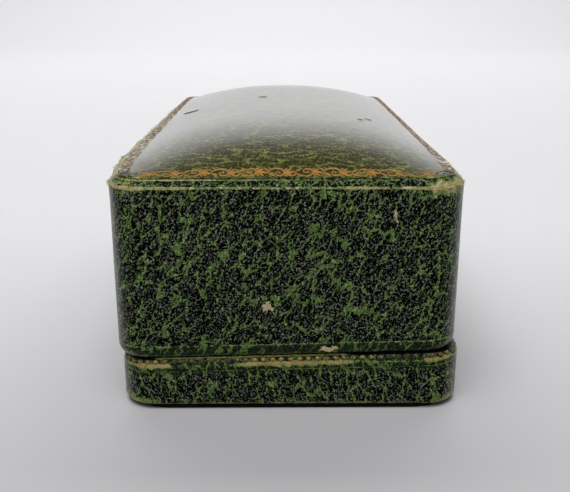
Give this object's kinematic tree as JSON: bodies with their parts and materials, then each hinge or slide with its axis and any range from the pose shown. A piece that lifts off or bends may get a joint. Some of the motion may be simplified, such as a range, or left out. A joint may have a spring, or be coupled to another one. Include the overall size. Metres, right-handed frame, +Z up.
{
  "type": "ring box",
  "caption": "Small domed ring box: leatherette-covered wooden case with brass rims, a hinged lid, a push-button catch, padded satin and velvet ring rolls.",
  "frame": {"origin": "middle of the underside, on the surface that the box stands on", "axes": "+X along the box's length, +Y from the push button to the hinge, +Z up out of the lid"},
  "size_m": [0.089, 0.0482, 0.0352],
  "materials": {
    "leatherette": "glossy dark green leatherette with a fine worm-like grain, worn pale at its edges",
    "crown_leatherette": "the same leatherette with a gilt border, cut off raw at the crown's border",
    "wood": "plain pale softwood boards",
    "brass": "thin rolled brass, lightly tarnished",
    "steel": "bright drawn wire and nails",
    "spring_steel": "blued spring strip",
    "velvet": "cream velvet over stuffing",
    "satin": "ivory satin",
    "card": "grey-brown card"
  },
  "bodies": {
    "base": {"base_board": "wood", "base_cover": "leatherette", "base_hinge_leaf": "brass", "base_hinge_nails": "steel", "base_rim_frame": "brass", "base_underside": "leatherette", "base_wall_back": "wood", "base_wall_front": "wood", "base_wall_left": "wood", "base_wall_right": "wood", "button_bush": "brass", "catch_rivets": "brass", "catch_spring": "spring_steel", "hinge_pin": "steel", "ring_roll_back": "velvet", "ring_roll_front": "velvet", "roll_card": "card"},
    "lid": {"lid_hinge_leaf": "brass", "lid_hinge_nails": "steel", "lid_lining": "satin", "lid_pad_card": "card", "lid_rim_frame": "brass", "lid_satin_pad": "satin", "lid_top_block": "wood", "lid_top_cover": "crown_leatherette", "lid_wall_back": "wood", "lid_wall_cover": "leatherette", "lid_wall_front": "wood", "lid_wall_left": "wood", "lid_wall_right": "wood", "catch_keeper": "brass", "keeper_rivets": "brass"},
    "button": {"push_button": "brass"}
  },
  "joints": [
    {"name": "lid_hinge", "type": "hinge", "parent": "base", "child": "lid", "pos_m": [0, 0.02275, 0.00832], "axis": [-1, 0, 0], "range_deg": [0, 98], "deforming": ["catch_spring"]},
    {"name": "button_press", "type": "slide", "parent": "base", "child": "button", "axis": [0, 1, 0], "range_m": [0, 0.0008], "stiffness_N_per_m": 400, "deforming": ["catch_spring"]}
  ]
}
